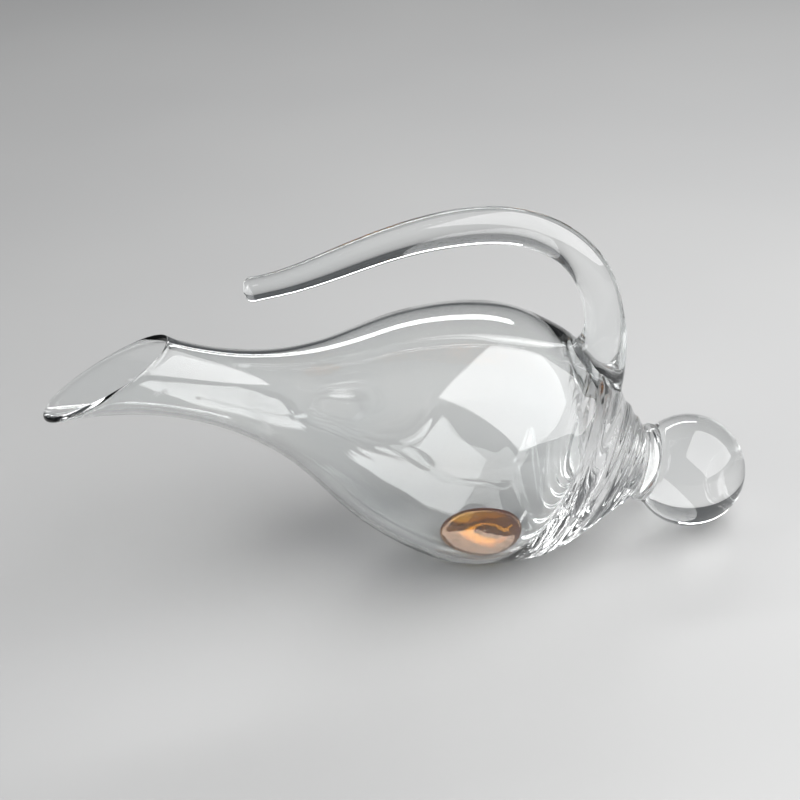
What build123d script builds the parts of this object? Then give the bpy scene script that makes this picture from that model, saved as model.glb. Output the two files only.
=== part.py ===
from build123d import *
from math import asin, cos, degrees, radians, sin
import os

# A blown-glass wine decanter that lies on its belly and on a solid glass ball.
# Millimetres and degrees. The body is a solid of revolution round one straight axis. Distances
# called "along" run on that axis from the belly's centre, positive towards the ball.
# In the finished frame +Z is up, -X is the mouth end, +X is the ball end, the plane Y = 0 halves
# the object, and the origin is the middle of the footprint, on the table.

# Body
BELLY_RADIUS = 65.0
BELLY_HEIGHT = 63.9  # belly centre above the table: under its radius, so the glass is flattened there
FLOOR_WALL = 2.2  # glass left over the flattened standing spot
WALL = 2.2
THICK_WALL = 2.6  # at the mouth

# Tail: collar and ball
CONE_END = 81.0
CONE_END_RADIUS = 20.0
COLLAR_END = 90.5
COLLAR_RADIUS = 19.4
BALL_RADIUS = 28.4
BALL_ALONG = 111.5

# Mouth
MOUTH_ALONG = -176.8  # where the slanted cut crosses the axis
MOUTH_SLANT = 44.3  # between the cut and the axis
RIM_ROUND = 0.8

# Wine
WINE_LEVEL = 4.6

# The axis drops towards the ball, so far that belly and ball both stand on the table.
TILT = degrees(asin((BELLY_HEIGHT - BALL_RADIUS) / BALL_ALONG))
ON_THE_TABLE = Pos(0, 0, BELLY_HEIGHT) * Rot(0, TILT, 0)

# Outer outline of the blown shell: (along, radius) from beyond the mouth to the collar. From the
# belly on it is the middle of the shallow twisted ribs, which are relief on this surface.
BLOWN_OUTLINE = [
    (-216.0, 34.6),
    (-190.0, 25.8),
    (-168.0, 20.4),
    (-144.0, 18.1),
    (-114.0, 21.0),
    (-84.0, 32.0),
    (-55.0, 49.4),
    (-28.0, 60.4),
    (0.0, BELLY_RADIUS),
    (20.0, 62.0),
    (40.0, 54.6),
    (56.0, 43.2),
    (70.0, 29.8),
    (CONE_END, CONE_END_RADIUS),
]
# Outline of the hollow. It ends in a dome, and the glass from there to the collar is solid.
HOLLOW_END = 53.0
HOLLOW_OUTLINE = [
    (-216.0, 34.6 - THICK_WALL),
    (-190.0, 25.8 - THICK_WALL),
    (-168.0, 20.4 - THICK_WALL),
    (-144.0, 18.1 - WALL),
    (-114.0, 21.0 - WALL),
    (-84.0, 32.0 - WALL),
    (-55.0, 49.4 - WALL),
    (-28.0, 60.4 - WALL),
    (0.0, BELLY_RADIUS - WALL),
    (22.0, 59.0),
    (38.0, 49.5),
    (48.0, 35.0),
    (HOLLOW_END, 0.0),
]

# Handle: the rod's centreline in the plane Y = 0 as (x, z, rod radius), from the free end to the
# root. x is measured from the belly's centre, z from the table.
HANDLE_LINE = [
    (-105.5, 153.6, 6.1),
    (-88.0, 155.7, 6.4),
    (-65.0, 161.4, 7.1),
    (-34.0, 169.8, 8.0),
    (-2.0, 173.8, 8.9),
    (26.0, 170.4, 8.8),
    (47.0, 158.4, 8.6),
    (60.0, 139.0, 9.2),
    (64.0, 118.0, 9.8),
]
# Its root swells into a foot pressed on to the shoulder: (x, z, half length, half width, lean).
HANDLE_FOOT = [
    (62.6, 104.0, 12.6, 11.2, 22.0),
    (57.5, 91.0, 19.5, 13.6, 46.0),
]
TIP_ROUND = 2.4
BIG = 900.0  # twice the size of the object and more


def outline_edge(points):
    """A smooth curve through (along, radius) points, in the plane that is turned round the axis."""
    return Spline(*[(along, 0, radius) for along, radius in points])


def turned(edge):
    """The solid between an outline and the axis, turned round the axis."""
    start, end = edge @ 0, edge @ 1
    corners = [end, (end.X, 0, 0), (start.X, 0, 0), start]
    if end.Z < 1e-6:
        corners = corners[1:]
    return revolve(make_face([edge, Polyline(*corners)]), Axis.X)


def cut_plane():
    """The plane of the slanted mouth; its normal points out of the decanter."""
    slant = radians(MOUTH_SLANT)
    return Plane(origin=(MOUTH_ALONG, 0, 0), x_dir=(0, 1, 0), z_dir=(-sin(slant), 0, cos(slant)))


def outside_solid():
    """The vessel's outer shape as a solid, flattened where it stands."""
    body = turned(outline_edge(BLOWN_OUTLINE))
    beyond_mouth = cut_plane() * Box(BIG, BIG, BIG, align=(Align.CENTER, Align.CENTER, Align.MIN))
    below_table = Box(BIG, BIG, BIG, align=(Align.CENTER, Align.CENTER, Align.MAX))
    return ON_THE_TABLE * (body - beyond_mouth) - below_table


def hollow_solid():
    """The space inside, with a flat floor over the standing spot."""
    below_floor = Pos(0, 0, FLOOR_WALL) * Box(
        BIG, BIG, BIG, align=(Align.CENTER, Align.CENTER, Align.MAX)
    )
    return ON_THE_TABLE * turned(outline_edge(HOLLOW_OUTLINE)) - below_floor


def lies_in(plane, edge):
    """Whether an edge lies in a plane, by three points on it."""
    return all(abs(plane.to_local_coords(edge @ share).Z) < 0.01 for share in (0, 0.3, 0.6))


def make_vessel(outside, hollow):
    """The blown shell, with its fire-polished rim."""
    vessel = outside - hollow
    mouth = Plane(ON_THE_TABLE * cut_plane().location)
    rim = [edge for edge in vessel.edges() if lies_in(mouth, edge)]
    return fillet(rim, RIM_ROUND)


def make_collar():
    """The ring of glass between shoulder and ball: a short waist, then a rounded bead."""
    middle = (CONE_END + COLLAR_END) / 2
    outline = Spline(
        (CONE_END, 0, CONE_END_RADIUS - 1.4),
        (CONE_END + 1.2, 0, CONE_END_RADIUS - 1.9),
        (middle + 1.0, 0, COLLAR_RADIUS),
        (COLLAR_END, 0, COLLAR_RADIUS - 1.4),
    )
    return ON_THE_TABLE * turned(outline)


def make_ball():
    """The solid ball, flat where the collar is fused to it."""
    before_collar = Pos(COLLAR_END, 0, 0) * Box(
        BIG, BIG, BIG, align=(Align.MAX, Align.CENTER, Align.CENTER)
    )
    return ON_THE_TABLE * (Pos(BALL_ALONG, 0, 0) * Sphere(BALL_RADIUS) - before_collar)


def rod_planes():
    """Planes square to the handle's centreline at each of its stations."""
    line = Spline(*[(x, 0, z) for x, z, _ in HANDLE_LINE], tangents=[(1, 0, 0.06), (-0.06, 0, -1)])
    planes = []
    for x, z, _ in HANDLE_LINE:
        at = line.param_at_point(Vector(x, 0, z))
        planes.append(Plane(origin=(x, 0, z), x_dir=(0, 1, 0), z_dir=line % at))
    return planes


def make_handle(outside):
    """The solid rod and its foot, cut to lie on the shoulder."""
    rod = [plane * Circle(radius) for plane, (_, _, radius) in zip(rod_planes(), HANDLE_LINE)]
    foot = []
    for x, z, half_length, half_width, lean in HANDLE_FOOT:
        down = (-sin(radians(lean)), 0, -cos(radians(lean)))
        plane = Plane(origin=(x, 0, z), x_dir=(0, 1, 0), z_dir=down)
        foot.append(plane * Ellipse(half_width, half_length))
    handle = loft([face.face() for face in rod + foot])
    tip = handle.edges().sort_by(Axis.X)[0]
    return fillet(tip, TIP_ROUND) - outside


def make_wine(hollow):
    """The last of the wine, lying in the flattened bottom of the belly."""
    above_level = Pos(0, 0, WINE_LEVEL) * Box(
        BIG, BIG, BIG, align=(Align.CENTER, Align.CENTER, Align.MIN)
    )
    return hollow - above_level


def main():
    outside = outside_solid()
    hollow = hollow_solid()
    pieces = {
        "vessel": make_vessel(outside, hollow),
        "collar": make_collar(),
        "ball_foot": make_ball(),
        "handle": make_handle(outside),
        "wine_residue": make_wine(hollow),
    }
    length = Compound(children=[Compound(piece.solids()) for piece in pieces.values()]).bounding_box()
    to_origin = Pos(-(length.min.X + length.max.X) / 2, 0, 0)
    print("belly centre at x", round(to_origin.position.X, 2), "tilt", round(TILT, 2))
    os.makedirs("parts", exist_ok=True)
    for name, piece in pieces.items():
        export_step(to_origin * piece, f"parts/{name}.step")


main()
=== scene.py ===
import math

import bpy
import numpy as np
from mathutils import Matrix, Vector


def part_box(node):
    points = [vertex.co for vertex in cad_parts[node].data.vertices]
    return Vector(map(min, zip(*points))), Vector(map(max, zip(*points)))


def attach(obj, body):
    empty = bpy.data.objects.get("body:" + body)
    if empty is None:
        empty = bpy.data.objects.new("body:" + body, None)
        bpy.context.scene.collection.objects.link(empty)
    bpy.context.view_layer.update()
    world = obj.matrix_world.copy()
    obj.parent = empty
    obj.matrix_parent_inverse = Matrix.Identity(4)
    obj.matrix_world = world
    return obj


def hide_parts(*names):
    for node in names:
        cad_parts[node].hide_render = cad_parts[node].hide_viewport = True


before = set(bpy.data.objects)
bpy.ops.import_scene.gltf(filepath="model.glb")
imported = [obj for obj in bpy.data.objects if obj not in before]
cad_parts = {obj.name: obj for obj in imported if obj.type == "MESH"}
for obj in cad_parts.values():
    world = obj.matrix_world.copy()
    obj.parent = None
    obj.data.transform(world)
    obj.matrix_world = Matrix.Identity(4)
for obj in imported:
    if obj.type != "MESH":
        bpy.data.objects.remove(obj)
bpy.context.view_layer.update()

# A blown-glass wine decanter on a pale floor. +Z is up, -X is the mouth end, +X is the ball end.
# The vessel, collar and ball are turned round one straight body axis, which drops towards the ball.
# "along" is a place on that axis: millimetres from the belly's centre, positive towards the ball.
# Outlines and the handle's stations are in millimetres. Points go to a mesh in metres.

MM = 0.001
vessel_low, vessel_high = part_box("vessel")
ball_low, ball_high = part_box("ball_foot")
wine_low, wine_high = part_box("wine_residue")

# ---- Places worked out from the frame ----
BALL_RADIUS = (ball_high.z - ball_low.z) / 2
BALL_CENTRE = Vector((ball_high.x - BALL_RADIUS, 0, ball_low.z + BALL_RADIUS))
BELLY_RADIUS = (vessel_high.y - vessel_low.y) / 2
FLATTENED = 1.1 * MM  # the belly is this much lower than round, where it stands
BELLY_HEIGHT = BELLY_RADIUS - FLATTENED
BALL_ALONG = 111.5 * MM
TILT = math.asin((BELLY_HEIGHT - BALL_RADIUS) / BALL_ALONG)
BELLY_CENTRE = Vector((BALL_CENTRE.x - BALL_ALONG * math.cos(TILT), 0, BELLY_HEIGHT))

# ---- Body outlines: (along, radius) in millimetres ----
BLOWN_OUTLINE = [
    (81.0, 18.7), (80.7, 19.6), (80.0, 20.6), (78.6, 21.9), (70.0, 29.8), (56.0, 43.2), (40.0, 54.6),
    (20.0, 62.0), (0.0, 65.0), (-28.0, 60.4), (-55.0, 49.4), (-84.0, 32.0), (-114.0, 21.0),
    (-144.0, 18.1), (-168.0, 20.4), (-190.0, 25.8), (-216.0, 34.6),
]
HOLLOW_OUTLINE = [
    (53.0, 0.0), (52.6, 10.0), (51.2, 22.0), (48.0, 35.0), (38.0, 49.5), (22.0, 59.0), (0.0, 62.8),
    (-28.0, 58.2), (-55.0, 47.2), (-84.0, 29.8), (-114.0, 18.8), (-144.0, 15.9), (-168.0, 17.7),
    (-190.0, 22.9), (-216.0, 31.6),
]
COLLAR_OUTLINE = [
    (81.0, 18.6), (82.0, 17.5), (83.2, 17.4), (85.0, 18.9), (87.2, 19.7), (89.3, 19.3), (90.5, 17.7),
]
CONE_END, COLLAR_END = 81.0, 90.5
MOUTH_ALONG = -177.2  # where the slanted cut crosses the axis
MOUTH_SLANT = math.radians(44.3)  # between the cut and the axis
LIP_ROUND = 1.6  # how far back from the cut the lip starts to round over
LIP_BEAD, LIP_LONG = 0.5, 3.2  # the melted edge is this much thicker on both sides, over this length
HALF_WALL = 1.4  # at the mouth
NECK_ALONG = -120.0  # from here to the mouth the rows of the mesh lean over to the slanted cut
FLOOR_WALL = wine_low.z / MM  # glass under the wine
SOFT_EDGE = 0.2  # of the flattened places

# ---- Ribs on the shoulder ----
RIBS = 8
RIB_RELIEF = 0.6  # on either side of the outline
RIB_START, RIB_FULL = 22.0, 52.0  # they grow to that height between these places
RIB_LEAN = 2.4  # millimetres that a rib goes round for each one that it goes towards the ball
RIB_LEAN_START, RIB_LEAN_FULL = 2.0, 42.0
RIB_FADE_START, RIB_FADE = 76.0, 0.6  # towards the collar they lose this share of their height

# ---- Fineness of the body's meshes ----
OUTLINE_STEPS = 3000  # places on an outline before its rows are picked
SEGMENTS = 240  # round the body axis
OUTER_ROWS, INNER_ROWS, NECK_ROWS, LIP_ROWS, COLLAR_ROWS = 190, 80, 40, 11, 30
ROWS_TO_RIBS, ROWS_TO_LIP = 1.35, 1.6  # over 1, they draw the rows together there
DISC_ROWS = 7  # from the middle of a fused face to its edge


def smooth_line(points, count):
    """count places, evenly spaced, on the natural cubic spline through points."""
    points = np.array(points, float)
    at = np.r_[0, np.cumsum(np.linalg.norm(np.diff(points, axis=0), axis=1))]
    gap = np.diff(at)
    n = len(points)
    lhs, rhs = np.eye(n), np.zeros_like(points)
    for i in range(1, n - 1):
        lhs[i, i - 1 : i + 2] = gap[i - 1], 2 * (gap[i - 1] + gap[i]), gap[i]
        rhs[i] = 6 * ((points[i + 1] - points[i]) / gap[i] - (points[i] - points[i - 1]) / gap[i - 1])
    bend = np.linalg.solve(lhs, rhs)
    t = np.linspace(0, at[-1], count * 8)
    i = np.clip(np.searchsorted(at, t, side="right") - 1, 0, n - 2)
    left, right, step = (t - at[i])[:, None], (at[i + 1] - t)[:, None], gap[i][:, None]
    line = (
        (bend[i] * right**3 + bend[i + 1] * left**3) / (6 * step)
        + (points[i] / step - bend[i] * step / 6) * right
        + (points[i + 1] / step - bend[i + 1] * step / 6) * left
    )
    return evenly(line, count)


def evenly(line, count):
    """count places evenly spaced along a line of close points."""
    far = np.r_[0, np.cumsum(np.linalg.norm(np.diff(line, axis=0), axis=1))]
    return np.stack([np.interp(np.linspace(0, far[-1], count), far, c) for c in line.T], axis=1)


def smooth_step(low, high, x):
    t = np.clip((np.asarray(x, float) - low) / (high - low), 0, 1)
    return t * t * (3 - 2 * t)


def on_table(along, radius, angle):
    """Points of the turned body in the frame, from millimetres along, radius and angle round the axis.
    The angle is 0 towards +Y and a quarter turn towards the top."""
    up = radius * np.sin(angle)
    x = BELLY_CENTRE.x / MM + along * math.cos(TILT) + up * math.sin(TILT)
    z = BELLY_CENTRE.z / MM - along * math.sin(TILT) + up * math.cos(TILT)
    return np.stack(np.broadcast_arrays(x, radius * np.cos(angle), z), axis=-1) * MM


def new_piece(name, points, faces, materials, face_slots=None):
    """An object made of points and faces, smoothly shaded, in the scene."""
    mesh = bpy.data.meshes.new(name)
    mesh.from_pydata([tuple(p) for p in points], [], faces)
    for material in materials:
        mesh.materials.append(material)
    mesh.polygons.foreach_set("use_smooth", [True] * len(faces))
    if face_slots is not None:
        mesh.polygons.foreach_set("material_index", face_slots)
    mesh.update()
    piece = bpy.data.objects.new(name, mesh)
    bpy.context.scene.collection.objects.link(piece)
    return piece


class Skin:
    """A closed skin made of rings of points, with a single point at each end."""

    def __init__(self, segments):
        self.segments = segments
        self.points, self.faces, self.slots = [], [], []
        self.last = None

    def ring(self, points, slot=0):
        """Adds a ring, or one point, and joins it to the ring before."""
        start = len(self.points)
        points = np.atleast_2d(points)
        self.points.extend(points)
        here = [start] if len(points) == 1 else list(range(start, start + self.segments))
        if self.last is not None:
            for i in range(self.segments):
                j = (i + 1) % self.segments
                corners = [self.last[i % len(self.last)], self.last[j % len(self.last)]]
                corners += [here[j % len(here)], here[i % len(here)]]
                self.faces.append(list(dict.fromkeys(corners)))
                self.slots.append(slot)
        self.last = here

    def piece(self, name, materials):
        made = new_piece(name, self.points, self.faces, materials, self.slots)
        return facing_out(made)


def facing_out(piece):
    """Turns a closed piece's faces outwards, by the sign of its volume."""
    mesh = piece.data
    mesh.calc_loop_triangles()
    points = np.array([v.co for v in mesh.vertices])
    corners = points[np.array([t.vertices for t in mesh.loop_triangles])]
    volume = np.einsum("ij,ij->i", corners[:, 0], np.cross(corners[:, 1], corners[:, 2])).sum()
    if volume < 0:
        mesh.flip_normals()
    return piece


# ---- Materials ----
def node_tree(name):
    material = bpy.data.materials.new(name)
    material.use_nodes = True
    tree = material.node_tree
    shader = tree.nodes["Principled BSDF"]
    return material, tree, shader


def noise(tree, scale, detail, distortion=0.0):
    place = tree.nodes.new("ShaderNodeTexCoord")
    pattern = tree.nodes.new("ShaderNodeTexNoise")
    pattern.inputs["Scale"].default_value = scale
    pattern.inputs["Detail"].default_value = detail
    pattern.inputs["Distortion"].default_value = distortion
    tree.links.new(place.outputs["Object"], pattern.inputs["Vector"])
    return pattern.outputs["Fac"]


def ramp(tree, value, low, high):
    """A colour between low and high as value goes from 0.35 to 0.65."""
    node = tree.nodes.new("ShaderNodeValToRGB")
    node.color_ramp.elements[0].position = 0.35
    node.color_ramp.elements[1].position = 0.65
    node.color_ramp.elements[0].color = (*low, 1)
    node.color_ramp.elements[1].color = (*high, 1)
    tree.links.new(value, node.inputs["Fac"])
    return node.outputs["Color"]


def spread(tree, value, low, high):
    """A number between low and high as value goes from 0.3 to 0.7."""
    node = tree.nodes.new("ShaderNodeMapRange")
    for name, number in zip(("From Min", "From Max", "To Min", "To Max"), (0.3, 0.7, low, high)):
        node.inputs[name].default_value = number
    tree.links.new(value, node.inputs["Value"])
    return node.outputs["Result"]


def waves(tree, shader, pattern, height):
    """Slow waves in the surface, this high."""
    bump = tree.nodes.new("ShaderNodeBump")
    bump.inputs["Strength"].default_value = 1.0
    bump.inputs["Distance"].default_value = height
    tree.links.new(pattern, bump.inputs["Height"])
    tree.links.new(bump.outputs["Normal"], shader.inputs["Normal"])


def glass(name, wave_scale, wave_height):
    """Hand-blown clear glass: a faint tint that drifts, a polish that isn't quite even and slow waves."""
    material, tree, shader = node_tree(name)
    tint = ramp(tree, noise(tree, 18, 2, 0.6), (0.955, 0.97, 0.97), (0.99, 0.995, 0.99))
    tree.links.new(tint, shader.inputs["Base Color"])
    tree.links.new(spread(tree, noise(tree, 60, 3), 0.0, 0.012), shader.inputs["Roughness"])
    waves(tree, shader, noise(tree, wave_scale, 1, 0.4), wave_height)
    shader.inputs["Transmission Weight"].default_value = 1.0
    shader.inputs["IOR"].default_value = 1.5
    return material


def fused_joint():
    """Where two pieces of glass are fused there is no surface to see."""
    material = bpy.data.materials.new("fused_joint")
    material.use_nodes = True
    tree = material.node_tree
    tree.nodes.remove(tree.nodes["Principled BSDF"])
    clear = tree.nodes.new("ShaderNodeBsdfTransparent")
    tree.links.new(clear.outputs["BSDF"], tree.nodes["Material Output"].inputs["Surface"])
    return material


def amber_wine():
    """Amber wine: clear, and darker the longer the way of the light through it. Real wine reflects white.
    This reflects amber, so that the softbox in its surface doesn't look pink."""
    material, tree, shader = node_tree("amber_wine")
    tint = ramp(tree, noise(tree, 220, 2, 0.5), (1.0, 0.66, 0.2), (1.0, 0.74, 0.3))
    tree.links.new(tint, shader.inputs["Base Color"])
    tree.links.new(spread(tree, noise(tree, 400, 2), 0.0, 0.02), shader.inputs["Roughness"])
    waves(tree, shader, noise(tree, 160, 1), 0.03 * MM)
    shader.inputs["Transmission Weight"].default_value = 1.0
    shader.inputs["IOR"].default_value = 1.34
    shader.inputs["Specular Tint"].default_value = (0.7, 0.33, 0.07, 1)
    depth = tree.nodes.new("ShaderNodeVolumeAbsorption")
    depth.inputs["Color"].default_value = (0.998, 0.88, 0.05, 1)
    depth.inputs["Density"].default_value = 700.0
    tree.links.new(depth.outputs["Volume"], tree.nodes["Material Output"].inputs["Volume"])
    return material


def pale_floor():
    material, tree, shader = node_tree("pale_floor")
    tint = ramp(tree, noise(tree, 3, 2), (0.40, 0.40, 0.40), (0.42, 0.42, 0.418))
    tree.links.new(tint, shader.inputs["Base Color"])
    shader.inputs["Roughness"].default_value = 0.5
    return material


VESSEL_GLASS = glass("vessel_blown_glass", 26, 0.10 * MM)
COLLAR_GLASS = glass("collar_glass", 60, 0.06 * MM)
BALL_GLASS = glass("ball_solid_glass", 30, 0.04 * MM)
HANDLE_GLASS = glass("handle_rod_glass", 45, 0.08 * MM)
FUSED = fused_joint()
WINE = amber_wine()


# ---- Vessel ----
def rib_path():
    """How far round the axis a rib has turned at each place along it: it keeps a steady lean."""
    line = smooth_line(BLOWN_OUTLINE, OUTLINE_STEPS)[::-1]
    step = np.linalg.norm(np.diff(line, axis=0), axis=1)
    lean = RIB_LEAN * smooth_step(RIB_LEAN_START, RIB_LEAN_FULL, line[1:, 0])
    turned = np.r_[0, np.cumsum(lean * step / line[1:, 1])]
    return np.stack([line[:, 0], turned], axis=1)


RIB_PATH = rib_path()


def ribs(along, angle, relief):
    """Height of the twisted ribs over the mean surface."""
    along = np.asarray(along, float)
    grown = smooth_step(RIB_START, RIB_FULL, along)
    turned = np.interp(along, RIB_PATH[:, 0], RIB_PATH[:, 1])
    wave = np.cos(RIBS * (angle + turned))
    ending = 1 - RIB_FADE * smooth_step(RIB_FADE_START, CONE_END, along)
    return relief * grown * ending * wave


def flattened(points, low):
    """Lifts the lowest part of a surface to the height low, with a soft edge."""
    soft = SOFT_EDGE * MM
    above = points[..., 2] - low
    points = points.copy()
    points[..., 2] = low + (above + np.sqrt(above**2 + soft**2)) / 2
    return points


class Wall:
    """One side of the vessel's wall: its outline, its ribs, the height at which it is flattened and the
    swelling at the mouth."""

    def __init__(self, outline, relief, low, bead):
        self.line = smooth_line(outline, OUTLINE_STEPS)
        steps = np.linalg.norm(np.diff(self.line, axis=0), axis=1)
        self.far = np.r_[0, np.cumsum(steps)]
        self.relief, self.low, self.bead = relief, low, bead
        self.half_wall = math.copysign(HALF_WALL, bead)
        self.neck = np.interp(-NECK_ALONG, -self.line[:, 0], self.far)

    def at(self, far):
        along = np.interp(far, self.far, self.line[:, 0])
        return along, np.interp(far, self.far, self.line[:, 1])

    def mouth(self, angle):
        """How far along the outline the slanted cut lies, for each angle: the edge is square to the wall."""
        cut = []
        for a in angle:
            side = -math.sin(MOUTH_SLANT) * (self.line[:, 0] - MOUTH_ALONG)
            side = side + math.cos(MOUTH_SLANT) * (self.line[:, 1] - self.half_wall) * math.sin(a)
            side = np.where(self.line[:, 0] > NECK_ALONG, -1, side)
            i = int(np.argmax(side > 0))
            share = side[i - 1] / (side[i - 1] - side[i])
            cut.append(self.far[i - 1] + share * (self.far[i] - self.far[i - 1]))
        return np.array(cut)

    def place(self, along, radius, angle):
        bulge = ribs(along, angle, self.relief)
        return flattened(on_table(along, radius + bulge, angle), self.low)

    def rings(self, angle, body_rows, neck_rows):
        """Rings from the ball end of the outline to where the lip starts."""
        shares = np.linspace(0, 1, body_rows, endpoint=False) ** ROWS_TO_RIBS
        rows = [np.full(len(angle), self.neck * share) for share in shares]
        mouth = self.mouth(angle)
        end = mouth - LIP_ROUND
        shares = 1 - (1 - np.linspace(0, 1, neck_rows)) ** ROWS_TO_LIP
        rows += [self.neck + share * (end - self.neck) for share in shares]
        return [self.place(*self.near_mouth(row, mouth), angle) for row in rows]

    def near_mouth(self, far, mouth):
        """Along and radius, with the swelling of the melted edge."""
        along, radius = self.at(far)
        return along, radius + self.bead * np.exp(-(((mouth - far) / LIP_LONG) ** 2))


def lip(outer, inner, angle, rows):
    """Rings that round the cut edge from the outer wall over to the inner one, as one cubic curve."""
    reach = 4 / 3  # of the curve's handles: makes its middle just touch the cut
    rings = []
    from_far, to_far = outer.mouth(angle), inner.mouth(angle)
    start = np.array(outer.near_mouth(from_far - LIP_ROUND, from_far))
    end = np.array(inner.near_mouth(to_far - LIP_ROUND, to_far))
    first = start + (np.array(outer.near_mouth(from_far, from_far)) - start) * reach
    second = end + (np.array(inner.near_mouth(to_far, to_far)) - end) * reach
    for t in np.linspace(0, 1, rows + 2)[1:-1]:
        s = 1 - t
        along, radius = s**3 * start + 3 * s * s * t * first + 3 * s * t * t * second + t**3 * end
        rings.append(on_table(along, radius, angle))
    return rings


def disc(skin, along, radius, angle, outwards):
    """A flat end face across the axis, in the fused-joint slot, drawn outwards or inwards."""
    shares = np.linspace(0, 1, DISC_ROWS)[1:-1]
    if outwards:
        skin.ring(on_table(along, 0.0, 0.0))
        for share in shares:
            skin.ring(on_table(along, radius * share, angle), slot=1)
        return
    for share in shares[::-1]:
        skin.ring(on_table(along, radius * share, angle), slot=1)
    skin.ring(on_table(along, 0.0, 0.0), slot=1)


ANGLES = np.arange(SEGMENTS) * 2 * math.pi / SEGMENTS
OUTER_WALL = Wall(BLOWN_OUTLINE, RIB_RELIEF, 0.0, LIP_BEAD)
INNER_WALL = Wall(HOLLOW_OUTLINE, 0.0, wine_low.z, -LIP_BEAD)


def make_vessel():
    skin = Skin(SEGMENTS)
    disc(skin, CONE_END, BLOWN_OUTLINE[0][1], ANGLES, outwards=True)
    for number, ring in enumerate(OUTER_WALL.rings(ANGLES, OUTER_ROWS, NECK_ROWS)):
        skin.ring(ring, slot=0 if number else 1)
    for ring in lip(OUTER_WALL, INNER_WALL, ANGLES, LIP_ROWS):
        skin.ring(ring)
    inner_rings = INNER_WALL.rings(ANGLES, INNER_ROWS, NECK_ROWS)
    for ring in inner_rings[:0:-1]:
        skin.ring(ring)
    skin.ring(inner_rings[0][:1])
    return skin.piece("vessel_body", [VESSEL_GLASS, FUSED])


# ---- Collar and ball ----
def make_collar():
    angle = ANGLES[::2]
    skin = Skin(len(angle))
    disc(skin, CONE_END, COLLAR_OUTLINE[0][1], angle, outwards=True)
    for number, (along, radius) in enumerate(smooth_line(COLLAR_OUTLINE, COLLAR_ROWS)):
        skin.ring(on_table(along, radius, angle), slot=0 if number else 1)
    disc(skin, COLLAR_END, COLLAR_OUTLINE[-1][1], angle, outwards=False)
    return skin.piece("collar_ring", [COLLAR_GLASS, FUSED])


def ball_outline():
    """The sphere with its fused joint to the collar as (along, radius), and where its far pole lies."""
    centre, radius = BALL_ALONG / MM, BALL_RADIUS / MM
    joint_long, joint_round, rows = 1.0, (0.25, 0.9), 90
    start = math.acos((centre - COLLAR_END - joint_long) / radius)
    arc = [
        (centre - radius * math.cos(a), radius * math.sin(a))
        for a in np.linspace(start, math.pi, rows)[:-1]
    ]
    joint = (COLLAR_END, COLLAR_OUTLINE[-1][1])
    after = (joint[0] + joint_round[0], joint[1] + joint_round[1])
    return np.array([joint, after] + arc), centre + radius


def make_ball():
    angle = ANGLES[::2]
    outline, pole = ball_outline()
    skin = Skin(len(angle))
    disc(skin, COLLAR_END, outline[0][1], angle, outwards=True)
    for number, (along, radius) in enumerate(outline):
        skin.ring(on_table(along, radius, angle), slot=0 if number else 1)
    skin.ring(on_table(pole, 0.0, 0.0))
    return skin.piece("ball", [BALL_GLASS, FUSED])


# ---- Handle ----
# The rod's centreline in the plane Y = 0, from the free end to the root, in millimetres: x from the
# belly's centre, z from the table, and the rod's radius.
HANDLE_ROD = [
    (-105.5, 153.6, 5.6), (-88.0, 155.7, 6.1), (-65.0, 161.4, 7.1), (-34.0, 169.8, 8.0),
    (-2.0, 173.8, 8.9), (26.0, 170.4, 8.8), (47.0, 158.4, 8.6), (60.0, 139.0, 9.2), (64.0, 118.0, 9.8),
]
# The root swells into a foot: x and z, half length and half width of the section, and how far the way
# it faces leans from straight down, in degrees.
HANDLE_FOOT = [(62.6, 104.0, 12.6, 11.2, 22.0), (57.5, 91.0, 19.5, 13.6, 46.0)]
TIP_RADIUS, TIP_FLAT = 6.0, 2.4  # of the thickened end and of its flat middle
TIP_ROUND = 3.8  # how far back from the end face its edge is rounded
TIP_DOME = 0.7  # how far the middle of the end face stands out
TIP_LONG = 9.0  # from the end face to where the rod has its own thickness
TIP_STATIONS = 12  # the row of the rod whose thickness the end leads over to
FLAT_ROWS, ROUND_ROWS, TIP_ROWS = 6, 9, 12  # of the end: its flat middle, its edge, the stretch behind
CENTRELINE_STEPS = 600  # places on the centreline that its direction is read from
HANDLE_SEGMENTS, HANDLE_ROWS, FOOT_ROWS = 72, 260, 26
FOOT_SHARES = (0.85, 0.7, 0.55, 0.4, 0.25, 0.12)  # rings of the foot's hidden face, from its edge inwards
SUNK = 0.25  # the foot reaches this far into the vessel's wall, so that no air shows between them
SINK_STEPS, SINK_SHARE = 12, 0.8  # each step goes this share of the way that is left


def handle_stations():
    """Stations of the whole handle as rows of x, z, half length, half width and lean in radians."""
    rod = np.array([(x, z) for x, z, _ in HANDLE_ROD])
    line = smooth_line(rod, CENTRELINE_STEPS)
    stations = []
    for (x, z, radius), at in zip(HANDLE_ROD, rod):
        i = int(np.clip(np.linalg.norm(line - at, axis=1).argmin(), 2, len(line) - 3))
        way = line[i + 2] - line[i - 2]
        stations.append((x, z, radius, radius, math.atan2(-way[0], -way[1])))
    for x, z, half_length, half_width, lean in HANDLE_FOOT:
        stations.append((x, z, half_length, half_width, math.radians(lean)))
    return np.array(stations)


def section(station, angle):
    """A ring of the handle in millimetres; station is a row of handle_stations."""
    x, z, half_length, half_width, lean = station
    across = half_length * np.cos(angle)
    x = BELLY_CENTRE.x / MM + x + across * math.cos(lean)
    z = z - across * math.sin(lean)
    return np.stack(np.broadcast_arrays(x, half_width * np.sin(angle), z), axis=-1)


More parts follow.
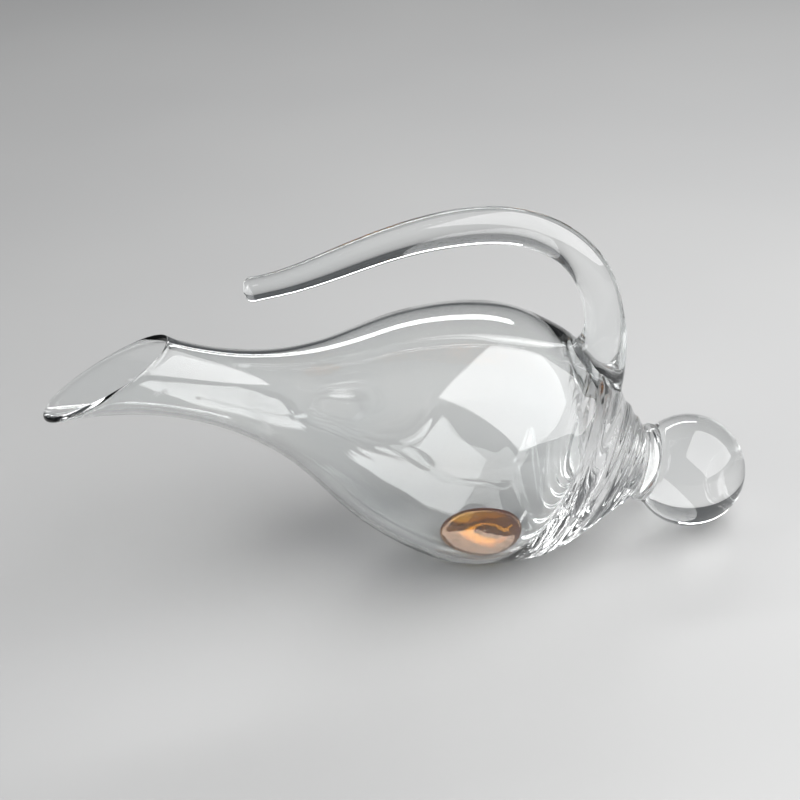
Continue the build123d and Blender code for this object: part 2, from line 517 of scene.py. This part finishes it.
def depth_in_vessel(points):
    """How far points in millimetres lie under the vessel's outer surface, ribs included, radially."""
    x, y, z = (points - np.array(BELLY_CENTRE) / MM).T
    along = x * math.cos(TILT) - z * math.sin(TILT)
    up = x * math.sin(TILT) + z * math.cos(TILT)
    line = OUTER_WALL.line[::-1]
    radius = np.interp(along, line[:, 0], line[:, 1])
    angle = np.arctan2(up, y)
    return radius + ribs(along, angle, RIB_RELIEF) - np.hypot(y, up)


def tip_rings(stations, rings):
    """Rings of the melted end: nearly flat in the middle, round at the edge and a little thicker."""
    lean = stations[0, 4]
    way = np.array([-math.sin(lean), 0, -math.cos(lean)])
    middle = rings[0].mean(0)
    out = (rings[0] - middle) / stations[0, 2]
    shaped = [middle - way * TIP_DOME]
    for share in np.linspace(0, 1, FLAT_ROWS)[1:]:
        shaped.append(middle + out * TIP_FLAT * share - way * TIP_DOME * (1 - share**2))
    for a in np.linspace(0, math.pi / 2, ROUND_ROWS)[1:]:
        radius = TIP_FLAT + (TIP_RADIUS - TIP_FLAT) * math.sin(a)
        shaped.append(middle + out * radius + way * TIP_ROUND * (1 - math.cos(a)))
    for share in np.linspace(0, 1, TIP_ROWS)[1:-1]:
        place = TIP_ROUND + share * (TIP_LONG - TIP_ROUND)
        rod = stations[0, 2] + (stations[TIP_STATIONS, 2] - stations[0, 2]) * share
        radius = TIP_RADIUS + (rod - TIP_RADIUS) * float(smooth_step(0, 1, share))
        shaped.append(middle + out * radius + way * place)
    return shaped


def foot_rings(rings, depth, clear):
    """Rings that lead from the last one clear of the vessel to the foot's edge, just under its skin."""
    end = []
    for k in range(HANDLE_SEGMENTS):
        i = clear + int(np.argmax(depth[clear:, k] > 0))
        share = -depth[i - 1, k] / (depth[i, k] - depth[i - 1, k])
        end.append(i - 1 + share)
    end = np.array(end)
    index = np.arange(len(rings))
    made = []
    for share in np.linspace(0, 1, FOOT_ROWS):
        row = clear + share * (end - clear)
        ring = [[np.interp(row[k], index, rings[:, k, c]) for c in range(3)] for k in range(HANDLE_SEGMENTS)]
        made.append(np.array(ring))
    return made


def make_handle():
    angle = np.arange(HANDLE_SEGMENTS) * 2 * math.pi / HANDLE_SEGMENTS
    weight = 20  # millimetres that a radian of lean counts for, when the stations are spaced out
    stations = smooth_line(handle_stations() * [1, 1, 1, 1, weight], HANDLE_ROWS)
    stations[:, 4] /= weight
    rings = np.array([section(s, angle) for s in stations])
    far = np.r_[0, np.cumsum(np.linalg.norm(np.diff(stations[:, :2], axis=0), axis=1))]
    start = int(np.searchsorted(far, TIP_LONG)) + 1
    depth = np.array([depth_in_vessel(ring) for ring in rings]) - SUNK
    clear = int(np.argmax((depth > 0).any(1))) - 2
    foot = foot_rings(rings, depth, clear)
    skin = Skin(HANDLE_SEGMENTS)
    for ring in tip_rings(stations, rings) + list(rings[start:clear]) + foot:
        skin.ring(ring * MM)
    centre = foot[-1].mean(0)
    for share in FOOT_SHARES:
        skin.ring(sunk(centre + (foot[-1] - centre) * share) * MM)
    skin.ring(sunk(centre[None]) * MM)
    return skin.piece("handle_rod", [HANDLE_GLASS])


def sunk(points):
    """Moves points radially to just under the vessel's outer surface, step by step."""
    centre = np.array(BELLY_CENTRE) / MM
    for _ in range(SINK_STEPS):
        x, y, z = (points - centre).T
        up = x * math.sin(TILT) + z * math.cos(TILT)
        size = np.hypot(y, up)
        out = np.stack([up / size * math.sin(TILT), y / size, up / size * math.cos(TILT)], axis=1)
        points = points + out * (depth_in_vessel(points) - SUNK)[:, None] * SINK_SHARE
    return points


# ---- Wine ----
WINE_RISE, WINE_RISE_LONG = 0.5, 0.8  # how far the wine climbs the glass at its edge, and over what length
WINE_GAP = 0.03  # it stays this far off the glass, so that the two surfaces don't fight
WINE_SEGMENTS, WINE_ROWS = 120, 26
ROWS_TO_EDGE = 0.8  # under 1, it draws the rows of the wine's surface together at its edge
HALVINGS = 40  # in a search for a place between two others


def hollow_height(x, y):
    """Height of the hollow's lower surface over the table at x, y, all in millimetres."""
    low, high = np.full(x.shape, -20.0), np.full(x.shape, BELLY_CENTRE.z / MM)
    line = INNER_WALL.line[::-1]
    for _ in range(HALVINGS):
        z = (low + high) / 2
        dx, dz = x - BELLY_CENTRE.x / MM, z - BELLY_CENTRE.z / MM
        along = dx * math.cos(TILT) - dz * math.sin(TILT)
        up = dx * math.sin(TILT) + dz * math.cos(TILT)
        inside = np.hypot(y, up) < np.interp(along, line[:, 0], line[:, 1])
        high, low = np.where(inside, z, high), np.where(inside, low, z)
    above = z - FLOOR_WALL
    return FLOOR_WALL + (above + np.sqrt(above**2 + SOFT_EDGE**2)) / 2


def make_wine():
    middle_x = (wine_low.x + wine_high.x) / 2 / MM
    level = wine_high.z / MM
    angle = np.arange(WINE_SEGMENTS) * 2 * math.pi / WINE_SEGMENTS
    low, high = np.zeros(WINE_SEGMENTS), np.full(WINE_SEGMENTS, 40.0)
    for _ in range(HALVINGS):
        reach = (low + high) / 2
        height = hollow_height(middle_x + reach * np.cos(angle), reach * np.sin(angle))
        under = height < level + WINE_RISE
        low, high = np.where(under, reach, low), np.where(under, high, reach)
    skin = Skin(WINE_SEGMENTS)
    for share in np.linspace(0, 1, WINE_ROWS):
        x, y = middle_x + reach * share * np.cos(angle), reach * share * np.sin(angle)
        ring = np.stack([x, y, hollow_height(x, y) + WINE_GAP], axis=1) * MM
        skin.ring(ring if share else ring[:1], slot=1)
    for share in np.linspace(1, 0, WINE_ROWS)[1:] ** ROWS_TO_EDGE:
        x, y = middle_x + reach * share * np.cos(angle), reach * share * np.sin(angle)
        z = level + WINE_RISE * np.exp(-reach * (1 - share) / WINE_RISE_LONG)
        ring = np.stack([x, y, z], axis=1) * MM
        skin.ring(ring if share else ring[:1])
    return skin.piece("wine_pool", [WINE, FUSED])


def place_pieces():
    pieces = {
        "vessel": (make_vessel(), "vessel_glass"),
        "collar": (make_collar(), "collar_glass"),
        "ball_foot": (make_ball(), "ball_glass"),
        "handle": (make_handle(), "handle_glass"),
        "wine_residue": (make_wine(), "wine"),
    }
    for node, (piece, slot) in pieces.items():
        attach(piece, "root")
        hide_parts(node)


# ---- Floor, light and camera ----
FLOOR_RADIUS, FLOOR_RINGS, FLOOR_SEGMENTS = 1.6, 24, 96


def make_floor():
    points, faces = [(0, 0, 0)], []
    for r in range(1, FLOOR_RINGS + 1):
        radius = FLOOR_RADIUS * r / FLOOR_RINGS
        for s in range(FLOOR_SEGMENTS):
            a = 2 * math.pi * s / FLOOR_SEGMENTS
            points.append((radius * math.cos(a), radius * math.sin(a), 0))
    for s in range(FLOOR_SEGMENTS):
        after = (s + 1) % FLOOR_SEGMENTS
        faces.append((0, 1 + s, 1 + after))
        for r in range(FLOOR_RINGS - 1):
            a, b = 1 + r * FLOOR_SEGMENTS + s, 1 + r * FLOOR_SEGMENTS + after
            faces.append((a, a + FLOOR_SEGMENTS, b + FLOOR_SEGMENTS, b))
    new_piece("floor", points, faces, [pale_floor()])


# Softboxes that face the belly: name, place from its centre, width and height in metres, watts
SOFTBOXES = [
    ("key", (0.62, -0.34, 0.72), 1.65, 1.5, 33),
    ("back", (-0.1, 1.25, 0.85), 1.6, 0.14, 7),
    ("side", (-1.15, -0.3, 0.75), 0.35, 0.8, 4),
]
STUDIO_COLOUR, STUDIO_STRENGTH = (0.9, 0.95, 1.0, 1), 0.09


def softbox(name, offset, width, height, power):
    light = bpy.data.lights.new(name, "AREA")
    light.shape = "RECTANGLE"
    light.size, light.size_y = width, height
    light.energy = power
    lamp = bpy.data.objects.new(name, light)
    bpy.context.scene.collection.objects.link(lamp)
    lamp.location = BELLY_CENTRE + Vector(offset)
    lamp.rotation_euler = (-Vector(offset)).to_track_quat("-Z", "Y").to_euler()


def make_light():
    for box in SOFTBOXES:
        softbox(*box)
    world = bpy.data.worlds.new("studio")
    bpy.context.scene.world = world
    world.use_nodes = True
    background = world.node_tree.nodes["Background"]
    background.inputs["Color"].default_value = STUDIO_COLOUR
    background.inputs["Strength"].default_value = STUDIO_STRENGTH


CAMERA_OFFSET = Vector((-0.0902, -0.7617, 0.4415))  # from the belly's centre
CAMERA_TURN, CAMERA_DROP, CAMERA_ROLL = (math.radians(a) for a in (3.98, 28.73, -4.48))
CAMERA_LENS = 80.74
BOUNCES, GLOSSY_BOUNCES = 28, 10


def make_camera():
    """The camera looks down on the object's side, from over towards the mouth, and is rolled a little."""
    turn, drop, roll = CAMERA_TURN, CAMERA_DROP, CAMERA_ROLL
    ahead = Vector((math.sin(turn) * math.cos(drop), math.cos(turn) * math.cos(drop), -math.sin(drop)))
    level = Vector((math.cos(turn), -math.sin(turn), 0))
    rise = level.cross(ahead)
    right = math.cos(roll) * level + math.sin(roll) * rise
    up = -math.sin(roll) * level + math.cos(roll) * rise
    camera = bpy.data.objects.new("camera", bpy.data.cameras.new("camera"))
    bpy.context.scene.collection.objects.link(camera)
    camera.data.lens = CAMERA_LENS
    camera.data.clip_start = 0.01
    place = BELLY_CENTRE + CAMERA_OFFSET
    camera.matrix_world = Matrix.Translation(place) @ Matrix((right, up, -ahead)).transposed().to_4x4()
    bpy.context.scene.camera = camera


def set_light_paths():
    """Light crosses many glass surfaces here."""
    cycles = bpy.context.scene.cycles
    cycles.max_bounces = BOUNCES
    cycles.transmission_bounces = BOUNCES
    cycles.glossy_bounces = GLOSSY_BOUNCES
    cycles.transparent_max_bounces = BOUNCES
    bpy.context.scene.view_settings.view_transform = "Standard"


place_pieces()
make_floor()
make_light()
make_camera()
set_light_paths()
